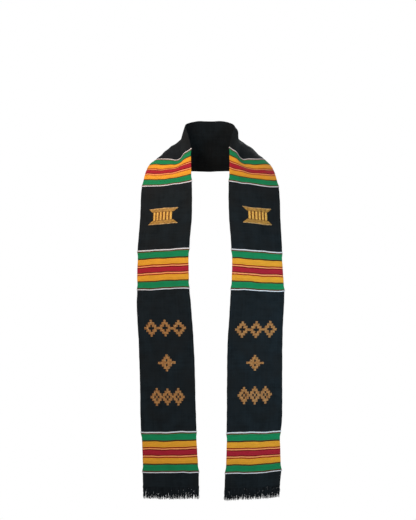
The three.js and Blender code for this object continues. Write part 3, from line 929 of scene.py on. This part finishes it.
def makeFringe(name, side, seed):
    rng = np.random.default_rng(seed)
    f = fringe
    store = {"spots": [], "uvs": [], "faces": [], "count": 0}
    t = np.linspace(0, 1, f["points"])
    for kind, number in (("loose", f["loose"]), ("plied", f["plied"])):
        for n in range(number):
            place = (n + 0.5 + rng.uniform(-f["jitter"], f["jitter"])) / number
            lockMiddle = (math.floor(place * f["lockCount"]) + 0.5) / f["lockCount"]
            length = f["length"] - f["ragged"] * rng.random() ** f["raggedPower"]
            lean = rng.normal(0, f["lean"] / 2) / strip["width"]
            sway = rng.uniform(-1, 1) * f["sway"] / strip["width"]
            gather = f["gather"] * (lockMiddle - place)
            swayed = sway * np.sin(2 * np.pi * (f["swayTurns"] * t + rng.random()))
            share = place + gather * t ** f["gatherPower"] + lean * t ** 2 + swayed
            down = -f["root"] + t * (length + f["root"])
            lift = rng.uniform(*f["liftRange"]) + rng.normal(0, f["rise"] / 2) * t ** 2
            phase = rng.uniform(0, 2 * np.pi)
            thinned = 1 - f["thinBy"] * np.clip((t - f["thinFrom"]) / f["thinOver"], 0, 1)
            if kind == "loose":
                turn = phase + 2 * np.pi * down / f["crimpTurn"]
                addStrand(store, side, share + f["crimp"] * np.cos(turn) / strip["width"], down,
                          lift + f["crimp"] * np.sin(f["crimpRatio"] * turn), f["looseRadius"] * thinned,
                          f["looseSides"])
                continue
            untwisted = np.clip((t - f["openFrom"]) / f["openOver"], 0, 1) * rng.uniform(*f["openRange"])
            opened = f["plyGap"] * f["plyRadius"] * (1 + untwisted)
            for ply in (0, 1):
                turn = phase + np.pi * ply + 2 * np.pi * down / f["plyTurn"]
                addStrand(store, side, share + opened * np.cos(turn) / strip["width"], down,
                          lift + opened * np.sin(turn), f["plyRadius"] * thinned, f["plySides"])
    spots = np.vstack(store["spots"])
    points = placed(spots[:, 0], spots[:, 1], spots[:, 2])
    piece = newPiece(f"{name}_strands", points, store["faces"], np.vstack(store["uvs"]),
                     [materials["fringe"]])
    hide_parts(name)
    return piece


for sideName, side in (("left", 1), ("right", -1)):
    name = f"{sideName}_fringe"
    makeFringe(name, side, fringe["seeds"][sideName])
print("fringes made")

lengths = {
    "neck_band": strip["band"], "chest_strip": strip["chestStrip"], "chest_band": strip["band"],
    "lower_strip": strip["lowerStrip"], "hem_band": strip["band"], "hem_strip": strip["hemStrip"],
}
for sideName in ("left", "right"):
    for part, length in lengths.items():
        name = f"{sideName}_{part}"


# Floor, light and camera
stageSpec = {
    "floorDrop": 1.45,          # nape to floor, as worn
    "floorRadius": 2.6,
    "floorFade": 1.2,           # from here out the floor fades into the backdrop's white
    "floorSides": 96,
    "floorRoughness": 0.9,
    "floorColor": "#e9e8e5",
    "floorMottle": "#f3f2ef",
    "mottlePerMetre": 6,
    "worldHorizon": "#ffffff",  # a white studio all round, dimmer overhead and underneath
    "worldPoles": "#8c8c8a",
    "horizonHeight": 0.2,       # sine of the elevation up to which it stays white
    "polesHeight": 0.55,
}
lights = {
    # place, what it points at, size, spread in degrees, watts and colour
    "keyLight": [(-0.5, -0.7, 0.55), (-0.1, -0.14, -0.05), 0.3, 80, 2.06, "#fff3ea"],
    "fillLight": [(0.75, -1.2, -0.3), (0.13, -0.17, -0.45), 0.3, 50, 1.42, "#a6dfff"],
    "backLight": [(0.5, 1.6, 1.0), (0, -0.1, -0.1), 1.0, 120, 12, "#ffffff"],
}
viewSpec = {
    "chestDistance": 3.0,
    "midHeight": -0.256,        # level with the middle of the picture
    "sideways": -0.005,
    "lens": 97.0,
}


def makeFloor():  # matte painted board with a faint mottle
    material, tree = newMaterial("paleStudioFloor")
    place = addNode(tree, "ShaderNodeTexCoord").node.outputs["Object"]
    mottle = addNode(tree, "ShaderNodeTexNoise", {"Vector": place, "Scale": stageSpec["mottlePerMetre"],
                                                  "Detail": 5.0})
    color = addNode(tree, "ShaderNodeMix", {
        "Factor": mottle, 6: fromHex(stageSpec["floorColor"]), 7: fromHex(stageSpec["floorMottle"])},
        data_type="RGBA")
    board = addNode(tree, "ShaderNodeBsdfPrincipled", {
        "Base Color": color.node.outputs[2], "Roughness": stageSpec["floorRoughness"]})
    clear = addNode(tree, "ShaderNodeBsdfTransparent")
    away = addNode(tree, "ShaderNodeVectorMath", {0: place}, operation="LENGTH").node.outputs["Value"]
    fade = addNode(tree, "ShaderNodeMapRange", {
        "Value": away, "From Min": stageSpec["floorFade"], "From Max": stageSpec["floorRadius"]},
        interpolation_type="SMOOTHSTEP")
    mixed = addNode(tree, "ShaderNodeMixShader", {0: fade, 1: board, 2: clear})
    addNode(tree, "ShaderNodeOutputMaterial", {"Surface": mixed})
    bpy.ops.mesh.primitive_circle_add(vertices=stageSpec["floorSides"], radius=stageSpec["floorRadius"],
                                      fill_type="NGON", location=(0, 0, -stageSpec["floorDrop"]))
    floor = bpy.context.object
    floor.name = "floor"
    floor.data.materials.append(material)


def makeLight(name, place, target, size, spread, power, color):
    data = bpy.data.lights.new(name, "AREA")
    data.shape, data.size, data.energy = "DISK", size, power
    data.color = fromHex(color)[:3]
    data.spread = math.radians(spread)      # a grid keeps the beam to one side
    light = bpy.data.objects.new(name, data)
    light.location = place
    aim = np.array(target) - np.array(place)
    yaw = math.atan2(aim[0], aim[1])
    pitch = math.atan2(aim[2], math.hypot(aim[0], aim[1]))
    light.rotation_euler = (math.pi / 2 + pitch, 0, -yaw)
    light.visible_camera = False
    bpy.context.scene.collection.objects.link(light)


def makeWorld():
    world = bpy.data.worlds.new("studio")
    world.use_nodes = True
    tree = world.node_tree
    tree.nodes.clear()
    direction = addNode(tree, "ShaderNodeTexCoord")
    split = tree.nodes.new("ShaderNodeSeparateXYZ")
    tree.links.new(direction, split.inputs[0])
    height = addNode(tree, "ShaderNodeMath", {0: split.outputs[2]}, operation="ABSOLUTE")
    dim = addNode(tree, "ShaderNodeMapRange", {
        "Value": height, "From Min": stageSpec["horizonHeight"], "From Max": stageSpec["polesHeight"]},
        interpolation_type="SMOOTHSTEP")
    color = addNode(tree, "ShaderNodeMix", {
        "Factor": dim, 6: fromHex(stageSpec["worldHorizon"]), 7: fromHex(stageSpec["worldPoles"])},
        data_type="RGBA")
    sky = addNode(tree, "ShaderNodeBackground", {"Color": color.node.outputs[2], "Strength": 1.0})
    addNode(tree, "ShaderNodeOutputWorld", {"Surface": sky})
    bpy.context.scene.world = world


makeFloor()
for name, spec in lights.items():
    makeLight(name, *spec)
makeWorld()
bpy.context.scene.view_settings.view_transform = "Standard"

camera = bpy.data.objects.new("camera", bpy.data.cameras.new("camera"))
camera.data.lens = viewSpec["lens"]
camera.location = (viewSpec["sideways"], -wearer["collarReach"] - viewSpec["chestDistance"],
                   viewSpec["midHeight"])
camera.rotation_euler = (math.pi / 2, 0, 0)
bpy.context.scene.collection.objects.link(camera)
bpy.context.scene.camera = camera
print("floor, lights and camera set")
